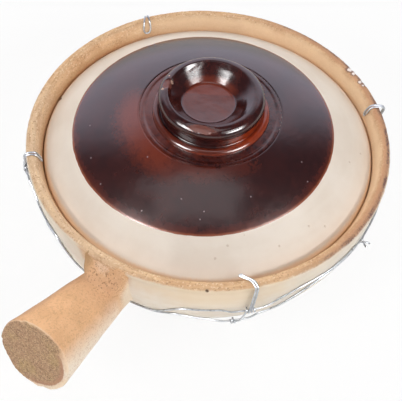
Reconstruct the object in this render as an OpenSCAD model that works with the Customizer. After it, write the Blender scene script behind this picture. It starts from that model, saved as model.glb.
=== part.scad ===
// Clay stew pot with one stub handle, a lift-off domed lid with a dished knob, and a wire binding
// that is hooked over the rim. Millimetres, +Z up, base on z = 0, handle along +X.

/* [Pot body] */
// Outer diameter of the rim
rim_d = 200; // [180:1:230]
// Height from the base to the top of the rim
body_h = 76; // [70:1:90]
// Diameter of the flat base
base_d = 121; // [100:1:135]
// Width of the rim's top
rim_w = 5.6; // [5:0.2:8]
// Height of the rim's outer band
band_h = 6; // [5:0.25:7]
// Rounding of the rim's two edges
rim_round = 2; // [1:0.25:2.4]
// How far the belly stays inside the rim's outer edge
belly_inset = 1.5; // [0.5:0.25:3]
// Depth below the rim at which the belly is widest
belly_drop = 8; // [6:0.5:12]
// Thickness of the belly's wall
wall = 6; // [5:0.5:8]
// Thickness of the pot's floor
floor_t = 7; // [5:0.5:10]
// Small break of the edge round the base
foot_edge = 1.5; // [0.5:0.25:3]

/* [Lid seat] */
// Depth of the seat below the top of the rim
seat_depth = 13; // [12:0.5:16]
// Width of the ledge that the lid stands on
seat_w = 6.5; // [5:0.5:8]
// Height of the ledge's upright inner edge
seat_edge = 4; // [3:0.5:6]
// Height of the slope under the ledge
seat_slope = 7; // [5:0.5:9]
// How far the rim's inner face leans in towards the seat
rim_lean = 2.7; // [1.5:0.1:4]
// Depth below the rim at which the inner face turns upright
lean_depth = 9; // [7:0.5:10]
// Gap round the lid
lid_gap = 0.7; // [0.5:0.1:1]
// Gap under the lid
seat_gap = 0.3; // [0.3:0.1:0.6]

/* [Lid] */
// Height of the dome above the lid's edge, measured to its apex
lid_rise = 33; // [28:0.5:40]
// Thickness of the dome
lid_t = 6; // [5:0.5:8]
// Height of the lid's edge above its seat
lid_edge_h = 4.7; // [4:0.1:6]
// Rounding of the lid's edge
lid_round = 2; // [1:0.25:2.5]
// Thickness of the lid under the knob
lid_crown_t = 6; // [4:0.5:9]

/* [Glaze] */
// Radius of the lid's glaze coat
glaze_r = 71.4; // [60:0.2:76]
// Off-centre shift of the lid's glaze along X
glaze_dx = 1.9; // [-4:0.1:4]
// Off-centre shift of the lid's glaze along Y
glaze_dy = -2.9; // [-4:0.1:4]
// Thickness of the glaze coats
glaze_t = 0.5; // [0.3:0.1:1]

/* [Knob] */
// Radius of the low collar round the knob
collar_r = 38; // [35:0.5:44]
// How deep the collar is let into the lid
collar_sink = 2.6; // [1.5:0.1:3.5]
// Height of the collar above the bottom of its recess
collar_h = 3.1; // [2.8:0.1:5]
// Rounding of the collar's edge
collar_round = 1; // [0.5:0.1:1.5]
// Gap round the collar in its recess
collar_gap = 0.1; // [0.05:0.05:0.3]
// Height of the shelf at the foot of the ring, above the recess
shelf_h = 2.7; // [2.2:0.1:3]
// Width of the cove between the shelf and the ring
cove_w = 0.8; // [0.4:0.2:1.6]
// Widest radius of the lower ring
ring_r = 30.9; // [29:0.1:33]
// Half height of the lower ring
ring_m = 2.5; // [2:0.1:2.8]
// Height of the lower ring's middle above the recess
ring_z = 3; // [2.6:0.1:3.4]
// Widest radius of the lip
lip_r = 28.3; // [26:0.1:32]
// Half height of the lip
lip_m = 4.6; // [4:0.1:5]
// Height of the lip's middle above the recess
lip_z = 12.5; // [12:0.1:15]
// Depth of the groove between ring and lip
groove = 5; // [4:0.1:6]
// Radius of the dish's flat floor
dish_r = 14.8; // [11:0.2:16]
// Height of the dish's floor above the recess
dish_z = 9.2; // [8:0.1:11]
// How far the dish's wall sags below a straight slope
dish_sag = 0.2; // [0:0.1:1.5]

/* [Handle] */
// How far the middle of the handle's end stands out beyond the rim
handle_reach = 56; // [45:1:75]
// Sideways shift of the handle
handle_side = 1; // [-3:0.5:3]
// Upward tilt of the handle
handle_tilt = 15.5; // [8:0.5:18]
// Depth of the handle's axis below the rim, at the rim's radius
handle_drop = 28; // [26:0.5:30]
// Diameter of the handle at the belly
handle_root_d = 27.5; // [24:0.5:32]
// Diameter of the handle at its end
handle_end_d = 39; // [30:0.5:44]
// How far the rim of the handle's end turns out
handle_flare = 1; // [0:0.25:2]
// Length of the turned-out rim
flare_l = 7; // [5:0.5:12]
// Rounding of the edge round the handle's end
handle_round = 1.25; // [0.5:0.25:3]
// Radius of the clay web that rises from the handle to the rim
web_r = 12.5; // [10:0.5:14]
// Sideways shift of the web from the handle
web_shift = 1; // [-2:0.5:2]
// Radius of the hollow in front of the web
web_hollow = 9.5; // [8:0.5:12]
// Step from the top of the rim down to the web
web_step = 0.5; // [0.25:0.25:2]
// How far the handle is worked into the belly before the belly is cut out of it
handle_set = 30; // [25:1:40]

/* [Wire binding] */
// Diameter of the wire
wire_d = 1; // [0.8:0.1:1.2]
// Gap between a wire and what it lies on
wire_gap = 0.2; // [0.15:0.05:0.4]
// Gap between a hook's winding and the belt in it
wrap_gap = 0.35; // [0.3:0.05:0.6]
// Gap between two turns of one wire
turn_gap = 0.55; // [0.5:0.05:0.8]
// Angle of the front hook from the handle
front_angle = 45.4; // [40:0.1:50]
// Angle of the right hook from the handle
right_angle = 137; // [130:0.1:145]
// Angle of the back hook from the handle
back_angle = 235.5; // [228:0.1:242]
// Angle of the left hook from the handle
left_angle = 312.7; // [308:0.1:316]
// Turns that a hook's legs make round a belt
hook_turns = 1.5; // [1:0.5:2]
// Sideways distance from a hook's winding on the upper belt to that on the lower one
tail_side = -5; // [-8:0.5:-4]
// Depth of the upper belt below the rim
belt_depth = 16; // [14:0.5:20]
// Clear height left between the belt and the underside of the handle
belt_under = 2; // [1.5:0.5:5]
// How far the front hook lets the upper belt down
belt_pull = 7; // [0:0.5:8]
// How far the left hook draws the upper belt up
belt_draw = 7; // [0:0.5:7.5]
// Distance of the lower belt below the upper one, between the hooks
belt_step = 3; // [2.5:0.1:5]
// How far the lower belt hangs down at each hook
belt_droop = 18; // [12:0.5:20]
// Angle of the upper belt's twisted end from the handle
upper_twist_angle = 88; // [80:1:100]
// Angle of the lower belt's twisted end from the handle
lower_twist_angle = 186; // [180:1:190]
// Length of a belt's twisted end
twist_l = 4.5; // [4:0.5:8]
// Turns in a belt's twisted end
twist_turns = 0.5; // [0.5:0.25:0.75]
// Downward tilt of a twisted end
twist_tilt = 10; // [0:5:30]
// How much wider a twisted end gets, as a share
twist_spread = 0.6; // [0.2:0.1:1]

/* [Hidden] */
$fn = 160;

// Of each hook, in the order front, right, back, left: its angle from the handle
hook_at = [front_angle, right_angle, back_angle, left_angle];
// Sideways place of its eye, of its bend over the rim and of its winding on the upper belt
eye_side = wire_d * [-4.3, 0.8, 1.5, 1.2];
bend_side = wire_d * [1.8, 0.2, -0.9, 0.5];
knot_side = wire_d * [0.3, 0.8, 0, 0.9];
// Width of its eye, depth of the eye below the rim, and how far the eye stands off the rim
eye_w = wire_d * [2, 2, 4.4, 2.2];
eye_depth = lean_depth * [-0.044, 0.67, 0.67, 0.61];
eye_off = wire_d * [1.9, 0, 0, 0];
// Angle round the rim's inner edge at which its legs leave the rim
eye_angle = [110, 160, 160, 160];
// How far its legs bow sideways on their way over the rim
bow_side = wire_d * [1.5, 0, 0, 0];
// How far its legs stand off the rim's outer edge
bend_off = wire_d * [0, 2.4, 0, 0.5];

rim_r = rim_d / 2;
base_r = base_d / 2;
belly_r = rim_r - belly_inset;
belly_h = body_h - belly_drop;
// The belly is one arc, upright where it is widest and running out at the base
belly_bow = (pow(belly_r - base_r, 2) + pow(belly_h, 2)) / (2 * (belly_r - base_r));
belly_c = [belly_r - belly_bow, belly_h];
inner_bow = belly_bow - wall;

seat_r = rim_r - rim_w - rim_lean;
seat_in_r = seat_r - seat_w;
seat_z = body_h - seat_depth;

lid_r = seat_r - lid_gap;
lid_bottom = seat_z + seat_gap;
lid_top_r = lid_r - lid_round;
lid_top_z = lid_bottom + lid_edge_h;
lid_bow = (pow(lid_top_r, 2) + pow(lid_rise, 2)) / (2 * lid_rise);
dome_z = lid_top_z + lid_rise - lid_bow;
recess_z = dome(collar_r) - collar_sink;
crown_z = recess_z - lid_crown_t;

// Angles round the ring, from where it meets the shelf's height, at which it starts, and at which it ends
ring_from = 15;
ring_to = 120;
// Angles round the lip at which it leaves the groove and runs into the dish
lip_from = -60;
lip_to = 115;

wire_r = wire_d / 2;
// Distance of a wire's middle from what it lies on, and from a wire that it is wound on
wire_off = wire_r + wire_gap;
wrap_r = wire_d + wrap_gap;
turn_step = wire_d + turn_gap;

// Height of the lid's dome at a radius
function dome(r) = dome_z + sqrt(lid_bow * lid_bow - r * r);
// Radius on an arc round a centre at a height
function reach(centre, bow, z) = centre[0] + sqrt(bow * bow - pow(z - centre[1], 2));
// Points along an arc
function arc(centre, r, from, to, n) =
    [for (i = [0:n]) centre + r * [cos(from + (to - from) * i / n), sin(from + (to - from) * i / n)]];
// Angle of an arc's point at a height
function arc_angle(centre, bow, z) = asin((z - centre[1]) / bow);

function reversed(p) = [for (i = [len(p) - 1:-1:0]) p[i]];

// Outline of the pot's outside, from the base to the top of the rim
function outside() = concat(
    [[0, 0], [reach(belly_c, belly_bow, foot_edge) - foot_edge, 0]],
    arc(belly_c, belly_bow, arc_angle(belly_c, belly_bow, foot_edge), 0, 16),
    [[belly_r, body_h - band_h]],
    arc([rim_r - rim_round, body_h - rim_round], rim_round, -20, 90, 6));

// Outline of the rim's inner face and the lid's seat, from the top of the rim down
function gallery() = concat(
    arc([rim_r - rim_w + rim_round, body_h - rim_round], rim_round, 90, 170, 5),
    [[seat_r, body_h - lean_depth], [seat_r, seat_z], [seat_in_r, seat_z], [seat_in_r, seat_z - seat_edge]]);

// Outline of the hollow inside, from under the seat to the floor; a coat of glaze makes it smaller
function hollow(coat) = concat(
    arc(belly_c, inner_bow - coat, arc_angle(belly_c, inner_bow - coat, seat_z - seat_edge - seat_slope),
        arc_angle(belly_c, inner_bow - coat, floor_t + coat), 16),
    [[0, floor_t + coat]]);

module pot_body() {
    color("#dfbd93") rotate_extrude() polygon(concat(outside(), gallery(), hollow(0)));
}

module pot_glaze() {
    color("#4a2420") rotate_extrude() polygon(concat(hollow(0), reversed(hollow(glaze_t))));
}

module handle() {
    length = handle_reach / cos(handle_tilt);
    root_r = handle_root_d / 2;
    end_r = handle_end_d / 2;
    lip_c = [end_r + handle_flare - handle_round, length - handle_round];
    hollow_c = [rim_r + web_hollow - web_step, body_h];
    color("#dfb48a") difference() {
        union() {
            translate([rim_r, handle_side, body_h - handle_drop]) rotate([0, 90 - handle_tilt, 0])
                rotate_extrude() polygon(concat(
                    [[0, -handle_set], [root_r, -handle_set], [root_r, 0], [end_r, length - flare_l]],
                    arc(lip_c, handle_round, 0, 90, 6),
                    [[0, length]]));
            difference() {
                translate([hollow_c[0] - web_r, handle_side + web_shift, body_h - handle_drop])
                    cylinder(h = handle_drop - web_step, r = web_r);
                translate([hollow_c[0], 0, hollow_c[1]]) rotate([90, 0, 0])
                    cylinder(h = 4 * web_r, r = web_hollow, center = true);
            }
        }
        rotate_extrude() polygon(concat(outside(), [[0, body_h]]));
    }
}

// Outline of the lid's top, from the collar's recess out to its edge
function lid_top(from, drop, n) =
    [for (i = [0:n]) let (r = from + (lid_top_r - from) * i / n) [r, dome(r) - drop]];

module lid_solid() {
    under_r = sqrt(pow(lid_bow - lid_t, 2) - pow(lid_bottom - dome_z, 2));
    rotate_extrude() polygon(concat(
        [[0, recess_z], [collar_r, recess_z]],
        lid_top(collar_r, 0, 16),
        arc([lid_r - lid_round, lid_top_z - lid_round], lid_round, 55, 0, 4),
        [[lid_r, lid_bottom]],
        arc([0, dome_z], lid_bow - lid_t, acos(under_r / (lid_bow - lid_t)),
            asin((crown_z - dome_z) / (lid_bow - lid_t)), 14),
        [[0, crown_z]]));
}

// Band on the lid's top between two distances from the dome, inside the off-centre edge of the glaze
module glaze_band(above, below) {
    intersection() {
        rotate_extrude()
            polygon(concat(lid_top(collar_r, -above, 16), reversed(lid_top(collar_r, below, 16))));
        translate([glaze_dx, glaze_dy, dome_z]) cylinder(h = 2 * lid_bow, r = glaze_r);
    }
}

module lid() {
    color("#e8d9c5") difference() {
        lid_solid();
        glaze_band(glaze_t, glaze_t);
    }
}

module lid_glaze() {
    color("#4a2420") glaze_band(0, glaze_t);
}

module lid_knob() {
    foot_r = collar_r - collar_gap;
    ring_c = [ring_r - ring_m, ring_z];
    lip_c = [lip_r - lip_m, lip_z];
    lip = arc(lip_c, lip_m, lip_from, lip_to, 16);
    color("#5a2a22") translate([0, 0, recess_z]) rotate_extrude() polygon(concat(
        [[0, 0], [foot_r, 0]],
        arc([foot_r - collar_round, collar_h - collar_round], collar_round, 0, 90, 4),
        [[ring_r + cove_w, shelf_h]],
        arc(ring_c, ring_m, asin((shelf_h - ring_z) / ring_m) + ring_from, ring_to, 8),
        [[ring_r - groove, (ring_z + ring_m + lip_z - lip_m) / 2]],
        lip,
        [(lip[len(lip) - 1] + [dish_r, dish_z]) / 2 - [dish_sag / 2, dish_sag]],
        [[dish_r, dish_z], [0, dish_z]]));
}

// Angle between -180 and 180
function wrap_angle(a) = ((a + 180) % 360 + 360) % 360 - 180;
// Smooth rise from 0 to 1 and back over a half width, centred on an angle
function bump(a, half) = abs(wrap_angle(a)) < half ? pow(cos(90 * wrap_angle(a) / half), 2) : 0;
// The same with a flat top
function mesa(a, flat, half) = bump(max(abs(wrap_angle(a)) - flat, 0), half - flat);
function mix(a, b, t) = a + (b - a) * t;
// Distance from the pot's axis, and height
function flat(p) = [norm([p[0], p[1]]), p[2]];

// Angles of the hooks' windings on the upper and on the lower belt
function turned(side) = side / belly_r * 180 / PI;
knot_at = [for (k = [0:3]) hook_at[k] + turned(knot_side[k])];
tail_at = [for (k = [0:3]) knot_at[k] + turned(tail_side)];

// Depth that takes a belt clear below the handle's root, and half the root's width as an angle
under_r = reach(belly_c, belly_bow, body_h - handle_drop - handle_root_d / 2);
under_drop = handle_drop + (rim_r - under_r) * tan(handle_tilt)
    + handle_root_d / 2 / cos(handle_tilt) + belt_under + wire_r;
under_angle = asin(handle_root_d / 2 / belly_r);
// How far, as angles, a belt's dip reaches beyond the handle on either side
dip_front_angle = 22;
dip_left_angle = 14;
// Half widths of the upper belt's bends at the front and left hooks, and of the lower one's droop, as angles
pull_angle = 18;
draw_angle = 12;
droop_angle = 30;
// Half the level stretch of a belt at a hook, and half the width of its lift off the belly there, as angles
level_angle = 4.5;
lift_angle = 9;

// Depth of each belt below the rim at an angle; the front hook's pull reaches to the handle
function dip(a) = let (out = wrap_angle(a) > 0 ? dip_front_angle : dip_left_angle)
    (under_drop - belt_depth) * mesa(a, under_angle, under_angle + out);
function pull(a) = let (level = wrap_angle(a - knot_at[0]) < 0 ? knot_at[0] : level_angle)
    belt_pull * mesa(a - knot_at[0], level, level + pull_angle - level_angle);
function upper_depth(a) = belt_depth + norm([dip(a), pull(a)])
    - belt_draw * mesa(a - knot_at[3], level_angle, draw_angle);
function droop(a) = max([for (k = [0:3]) mesa(a - tail_at[k], level_angle, droop_angle)]);
function lower_depth(a) = upper_depth(a) + belt_step + belt_droop * droop(a);
// How far a belt is lifted off the belly where hooks are wound on it
function lift(a, places) = wrap_r * max([for (k = [0:3]) mesa(a - places[k], level_angle, lift_angle)]);

// Point at a distance off the belly, at an angle round the pot and a depth below the rim
function on_belly(a, depth, off) = let (
        b = asin((depth - belly_drop) / belly_bow),
        r = belly_c[0] + (belly_bow + off) * cos(b))
    [r * cos(a), r * sin(a), belly_c[1] - (belly_bow + off) * sin(b)];
function upper_point(a) = on_belly(a, upper_depth(a), wire_off + lift(a, knot_at));
function lower_point(a) = on_belly(a, lower_depth(a), wire_off + lift(a, tail_at));

// Point from a distance from the pot's axis, a sideways distance from an angle and a height
function round_pot(at, r, side, z) = let (a = at + side / r * 180 / PI) [r * cos(a), r * sin(a), z];

function unit(v) = v / norm(v);
function between(p, i, t) = let (a = p[max(i - 1, 0)], b = p[i], c = p[i + 1], d = p[min(i + 2, len(p) - 1)])
    0.5 * (2 * b + (c - a) * t + (2 * a - 5 * b + 4 * c - d) * t * t + (3 * b - a - 3 * c + d) * t * t * t);
// Smooth curve through points, with extra points between them
function smooth(p, n) = concat(
    [for (i = [0:len(p) - 2], k = [0:n - 1]) between(p, i, k / n)],
    [p[len(p) - 1]]);
function along(p, i) = unit(p[min(i + 1, len(p) - 1)] - p[max(i - 1, 0)]);
function square_to(v, t) = unit(v - (v * t) * t);
// Directions square to the curve, carried along it without twist
function first_side(t) = square_to(abs(t[2]) < 0.9 ? [0, 0, 1] : [1, 0, 0], t);
function sides(p) = [for (i = 0, n = first_side(along(p, 0)); i < len(p);
    i = i + 1, n = i < len(p) ? square_to(n, along(p, i)) : n) n];

// Least distance between stretches of one wire that are a number of points apart along it
function self_gap(p, skip) =
    min([for (i = [0:len(p) - skip - 1], j = [i + skip:len(p) - 1]) norm(p[i] - p[j])]) - wire_d;

// Round wire along points, closed at both ends
module wire(p, n) {
    s = sides(p);
    rings = [for (i = [0:len(p) - 1], k = [0:n - 1])
        p[i] + wire_r * (cos(360 * k / n) * s[i] + sin(360 * k / n) * cross(along(p, i), s[i]))];
    last = (len(p) - 1) * n;
    polyhedron(concat(rings, [p[0], p[len(p) - 1]]), concat(
        [for (i = [0:n:last - n], k = [0:n - 1]) [i + k, i + n + k, i + (k + 1) % n]],
        [for (i = [0:n:last - n], k = [0:n - 1]) [i + (k + 1) % n, i + n + k, i + n + (k + 1) % n]],
        [for (k = [0:n - 1]) [last + n, k, (k + 1) % n]],
        [for (k = [0:n - 1]) [last + n + 1, last + (k + 1) % n, last + k]]));
}

// One strand of a belt's twisted end, standing out from the belly
twist_steps = 12;
twist_r = 0.55 * turn_step;
function twist(at, depth, start) = let (foot = flat(on_belly(at, depth, 2 * wire_off)))
    [for (i = [0:twist_steps]) let (
            t = i / twist_steps,
            turn = start + 360 * twist_turns * t,
            h = twist_r * (1 + twist_spread * t * t),
            place = foot + twist_l * t * [cos(twist_tilt), -sin(twist_tilt)]
                + h * cos(turn) * [sin(twist_tilt), cos(twist_tilt)])
        round_pot(at, place[0], h * sin(turn), place[1])];

// A belt's path, from one strand of its twisted end round the pot to the other
belt_angle = 3;
upper_path = concat(
    reversed(twist(upper_twist_angle, upper_depth(upper_twist_angle), 90)),
    [for (a = [belt_angle:belt_angle:360 - belt_angle]) upper_point(upper_twist_angle + a)],
    twist(upper_twist_angle, upper_depth(upper_twist_angle), -90));
lower_path = concat(
    reversed(twist(lower_twist_angle, lower_depth(lower_twist_angle), 90)),
    [for (a = [belt_angle:belt_angle:360 - belt_angle]) lower_point(lower_twist_angle + a)],
    twist(lower_twist_angle, lower_depth(lower_twist_angle), -90));

module upper_belt() {
    color("#a9adb0") wire(upper_path, 6);
    echo(upper_belt_gap = self_gap(upper_path, 6));
}

module lower_belt() {
    color("#a9adb0") wire(lower_path, 6);
    echo(lower_belt_gap = self_gap(lower_path, 6));
}

// Points of a leg wound on a belt: middle of the belt, turns, first sideways place, direction
wind_angle = -30;
wind_steps = 8;
function wound(at, mid, turns, side, way) = let (n = ceil(wind_steps * turns)) [for (i = [0:n]) let (
        done = turns * i / n,
        turn = wind_angle + 360 * done)
    round_pot(at, mid[0] + wrap_r * cos(turn), side + way * turn_step * done, mid[1] - wrap_r * sin(turn))];

// Half the distance between a hook's legs, wider where they run aslant
function leg_side(k) = let (
        slant = max(abs(bend_side[k] - eye_side[k]), abs(knot_side[k] - bend_side[k])) / (1.5 * rim_w))
    turn_step / 2 * sqrt(1 + slant * slant);

// Place of a hook's eye at the rim's inner face, at a share of the way to its tip
lean = rim_lean / lean_depth;
function eye_place(k, share) = let (drop = eye_depth[k] * share)
    [rim_r - rim_w - lean * drop - wire_off * sqrt(1 + lean * lean) - eye_off[k] * share, body_h - drop];

// Leg of a hook from its eye over the rim and down towards the upper belt
eye_share = [0.92, 0.6];
eye_part = [0.65, 1];
function leg(k, way) = let (
        round_r = rim_round + wire_off,
        over = concat(
            arc([rim_r - rim_w + rim_round, body_h - rim_round], round_r, eye_angle[k], 90, 2),
            arc([rim_r - rim_round, body_h - rim_round], round_r, 90, 0, 2)),
        wide = way * eye_w[k] / 2,
        near = way * leg_side(k),
        first = eye_place(k, eye_share[1])[0],
        last = rim_r + wire_off,
        low = (body_h + upper_point(knot_at[k])[2]) / 2)
    concat(
        [for (i = [0:1]) let (eye = eye_place(k, eye_share[i]))
            round_pot(hook_at[k], eye[0], eye_side[k] + wide * eye_part[i], eye[1])],
        [for (i = [0:5]) let (
                part = (over[i][0] - first) / (last - first),
                side = mix(eye_side[k] + wide, bend_side[k] + near, part) + bow_side[k] * sin(180 * part),
                off = bend_off[k] * max(0, i - 3) / 2)
            round_pot(hook_at[k], over[i][0] + off, side, over[i][1])],
        [round_pot(hook_at[k], last + bend_off[k] / 2, (bend_side[k] + knot_side[k]) / 2 + near, low)]);

function hook_path(k) = let (
        upper = flat(upper_point(knot_at[k])),
        lower = flat(lower_point(tail_at[k])),
        middle = (upper + lower) / 2,
        tip = eye_place(k, 1))
    concat(
        reversed(wound(knot_at[k], upper, hook_turns, leg_side(k), 1)),
        reversed(leg(k, 1)),
        [round_pot(hook_at[k], tip[0], eye_side[k], tip[1])],
        leg(k, -1),
        wound(knot_at[k], upper, 1, -leg_side(k), -1),
        [round_pot(knot_at[k], middle[0] + 2 * wrap_r, tail_side / 2 - turn_step, middle[1])],
        wound(tail_at[k], lower, hook_turns, 0, -1));

module rim_hook(k) {
    path = smooth(hook_path(k), 2);
    color("#b4b8ba") wire(path, 6);
    echo(rim_hook_gap = self_gap(path, 9));
}

module rim_hook_front() {
    rim_hook(0);
}

module rim_hook_right() {
    rim_hook(1);
}

module rim_hook_back() {
    rim_hook(2);
}

module rim_hook_left() {
    rim_hook(3);
}

pot_body();
pot_glaze();
handle();
lid();
lid_glaze();
lid_knob();
upper_belt();
lower_belt();
rim_hook_front();
rim_hook_right();
rim_hook_back();
rim_hook_left();
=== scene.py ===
from math import acos, asin, atan2, ceil, cos, degrees, hypot, pi, radians, sin, sqrt, tan, tau

import bmesh
import bpy
from mathutils import Matrix, Vector, noise


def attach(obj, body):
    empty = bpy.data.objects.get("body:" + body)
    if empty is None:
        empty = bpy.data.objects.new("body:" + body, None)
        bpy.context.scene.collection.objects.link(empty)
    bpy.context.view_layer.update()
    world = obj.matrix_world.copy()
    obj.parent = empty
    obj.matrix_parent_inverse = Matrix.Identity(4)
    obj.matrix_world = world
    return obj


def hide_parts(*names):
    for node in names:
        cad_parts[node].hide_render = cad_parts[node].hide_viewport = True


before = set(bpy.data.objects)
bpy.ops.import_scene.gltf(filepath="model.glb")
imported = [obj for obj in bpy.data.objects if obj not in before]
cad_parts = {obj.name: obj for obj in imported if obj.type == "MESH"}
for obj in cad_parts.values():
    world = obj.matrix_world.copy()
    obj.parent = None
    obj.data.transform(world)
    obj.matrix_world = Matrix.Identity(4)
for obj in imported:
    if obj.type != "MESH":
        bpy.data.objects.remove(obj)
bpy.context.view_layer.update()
mm = 0.001


def tint(red, green, blue):
    # the light that a colour stands for, given as seen on screen, 0 to 255
    return (*(((c / 255 + 0.055) / 1.055) ** 2.4 for c in (red, green, blue)), 1)


def operator(operation, swapped=False):
    # arithmetic on sockets of a finish, which adds a Math node
    def apply(self, other):
        inputs = {0: other, 1: self} if swapped else {0: self, 1: other}
        return self.finish.add("ShaderNodeMath", {"operation": operation}, inputs)

    return apply


class Value:
    # a socket of a finish, to reckon with
    __add__ = __radd__ = operator("ADD")
    __mul__ = __rmul__ = operator("MULTIPLY")
    __sub__ = operator("SUBTRACT")
    __rsub__ = operator("SUBTRACT", True)
    __truediv__ = operator("DIVIDE")
    __pow__ = operator("POWER")
    most = operator("MAXIMUM")
    least = operator("MINIMUM")

    def __init__(self, finish, socket):
        self.finish = finish
        self.socket = socket

    def rise(self, low, high):
        # 0 below low, 1 above high, eased between them
        return self.finish.add("ShaderNodeMapRange", {"interpolation_type": "SMOOTHSTEP"},
                               {"Value": self, "From Min": low, "From Max": high})

    def fall(self, low, high):
        return 1 - self.rise(low, high)


class Finish:
    # nodes of a material, or of a given tree; tints are its colours by name, as seen on screen
    def __init__(self, name, tints=None, tree=None):
        self.tints = tints
        if tree is None:
            self.material = bpy.data.materials.new(name)
            self.material.use_nodes = True
            tree = self.material.node_tree
        self.tree = tree
        self.tree.nodes.clear()

    def add(self, kind, settings=None, sockets=None, out=0):
        node = self.tree.nodes.new(kind)
        for key, setting in (settings or {}).items():
            setattr(node, key, setting)
        for key, given in (sockets or {}).items():
            if isinstance(given, Value):
                self.tree.links.new(given.socket, node.inputs[key])
            else:
                node.inputs[key].default_value = given
        return Value(self, node.outputs[out])

    def parts(self, vector):
        return [self.add("ShaderNodeSeparateXYZ", {}, {0: vector}, axis) for axis in "XYZ"]

    def start(self, coordinates="Object"):
        # the place on the object in metres, its parts, and the distance from the pot's axis
        self.place = self.add("ShaderNodeTexCoord", out=coordinates)
        self.x, self.y, self.z = self.parts(self.place)
        self.r = (self.x * self.x + self.y * self.y) ** 0.5

    def rays(self):
        # 1 for what the camera, a reflection or a view through glass sees
        kinds = ("Camera", "Glossy", "Transmission")
        return [self.add("ShaderNodeLightPath", out=f"Is {kind} Ray") for kind in kinds]

    def towards(self, angle):
        # 1 on the side of the pot that faces an angle, -1 on the far side
        a = radians(angle)
        return (self.x * cos(a) + self.y * sin(a)) / self.r

    def off(self, point):
        # distance from a point given in millimetres, as metres
        return self.add("ShaderNodeVectorMath", {"operation": "DISTANCE"},
                        {0: self.place, 1: [c * mm for c in point]}, "Value")

    def grain(self, size, detail=4, rough=0.55, twist=0.0, where=None):
        # noise whose lumps are about size millimetres
        return self.add("ShaderNodeTexNoise", {}, {
            "Vector": where or self.place, "Scale": 1 / (size * mm),
            "Detail": detail, "Roughness": rough, "Distortion": twist})

    def cells(self, size, out):
        return self.add("ShaderNodeTexVoronoi", {}, {"Vector": self.place, "Scale": 1 / (size * mm)}, out)

    def grit(self, size):
        # a chance number for each grain of sand
        return self.add("ShaderNodeSeparateColor", {}, {0: self.cells(size, "Color")}, "Red")

    def specks(self, size, share, spread):
        # round spots: one in some cells, share of the cells, spread as a part of a cell
        spot = self.cells(size, "Distance").fall(spread * 0.5, spread)
        return spot * self.grit(size).rise(1 - share, 1 - share + 0.02)

    def oval(self, centre, angle, length, width):
        # seen from above, 0 at a point in millimetres and 1 on an ellipse round it
        a = radians(angle)
        x, y = self.x - centre[0] * mm, self.y - centre[1] * mm
        along = (x * cos(a) + y * sin(a)) / (length * mm)
        across = (y * cos(a) - x * sin(a)) / (width * mm)
        return (along * along + across * across) ** 0.5

    def stretched(self, along, across):
        # the place squeezed, for streaks and thrown rings
        return self.add("ShaderNodeMapping", {}, {"Vector": self.place, "Scale": (across, across, along)})

    def thrown(self, longer):
        # the place with distances round the pot made shorter, for streaks left by the wheel
        squeeze = 0.1 / longer
        return self.add("ShaderNodeCombineXYZ", {}, {
            0: self.r, 1: self.towards(90) * squeeze, 2: self.towards(0) * squeeze})

    def blend(self, under, over, amount):
        under, over = (tint(*self.tints[c]) if isinstance(c, str) else c for c in (under, over))
        return self.add("ShaderNodeMix", {"data_type": "RGBA"}, {0: amount, 6: under, 7: over}, 2)

    def coats(self, colour, **amounts):
        # tints laid over a colour one after another, each by its amount
        for over, amount in amounts.items():
            colour = self.blend(colour, over, amount)
        return colour

    def bump(self, height, depth, strength, before=None):
        # depth in millimetres, on top of an earlier bump
        sockets = {"Height": height, "Distance": depth * mm, "Strength": strength}
        if before:
            sockets["Normal"] = before
        return self.add("ShaderNodeBump", {}, sockets)

    def shade(self, **sockets):
        named = {key.replace("_", " "): given for key, given in sockets.items()}
        self.addOutput("ShaderNodeOutputMaterial", self.add("ShaderNodeBsdfPrincipled", {}, named))
        return self

    def addOutput(self, kind, shader):
        node = self.tree.nodes.new(kind)
        self.tree.links.new(shader.socket, node.inputs["Surface"])


# the pot's measures in millimetres, as in its drawing
pot = {"rimR": 100, "height": 76, "baseR": 60.5, "rimW": 5.6, "band": 6, "rimRound": 2, "bellyInset": 1.5,
       "bellyDrop": 8, "wall": 6, "floor": 7, "footEdge": 1.5, "seatDepth": 13, "seatW": 6.5, "seatEdge": 4,
       "seatSlope": 7, "rimLean": 2.7, "leanDepth": 9, "glaze": 0.5, "steps": 560,
       # how far the wheel and the sand leave it uneven, and from where up the rim is sandy
       "wobble": 0.12, "thrown": 0.07, "sand": 0.12, "rimWave": 0.16, "plainR": 62, "sandyR": 94,
       "sandyZ": 71,
       # chips in the rim: angle, height, size and depth, and how far out they sit and are painted
       "paleChips": [(155.6, 75, 2.6, 0.6), (153.4, 75, 2.0, 0.5), (149.2, 75, 1.9, 0.55),
                     (147.4, 75, 1.3, 0.35)],
       "chip": (103, 75, 1.2, 0.4), "pit": (32.2, 74.9, 0.9, 0.9), "chipR": 99.7, "paleR": 97.7, "pitR": 99.8}
bellyR = pot["rimR"] - pot["bellyInset"]
bellyH = pot["height"] - pot["bellyDrop"]
bellyBow = ((bellyR - pot["baseR"]) ** 2 + bellyH ** 2) / (2 * (bellyR - pot["baseR"]))
bellyC = (bellyR - bellyBow, bellyH)
seatR = pot["rimR"] - pot["rimW"] - pot["rimLean"]
seatZ = pot["height"] - pot["seatDepth"]


def arc(centre, radius, start, end, steps):
    turns = [radians(start + (end - start) * i / steps) for i in range(steps + 1)]
    return [(centre[0] + radius * cos(t), centre[1] + radius * sin(t)) for t in turns]


def line(a, b, steps):
    return [(a[0] + (b[0] - a[0]) * i / steps, a[1] + (b[1] - a[1]) * i / steps) for i in range(1, steps)]


def angleAt(bow, z):
    return degrees(asin((z - bellyC[1]) / bow))


def closeUp(bm):
    # merges doubled points and turns the faces outwards
    bmesh.ops.remove_doubles(bm, verts=bm.verts, dist=0.001 * mm)
    bmesh.ops.recalc_face_normals(bm, faces=bm.faces)


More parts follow.
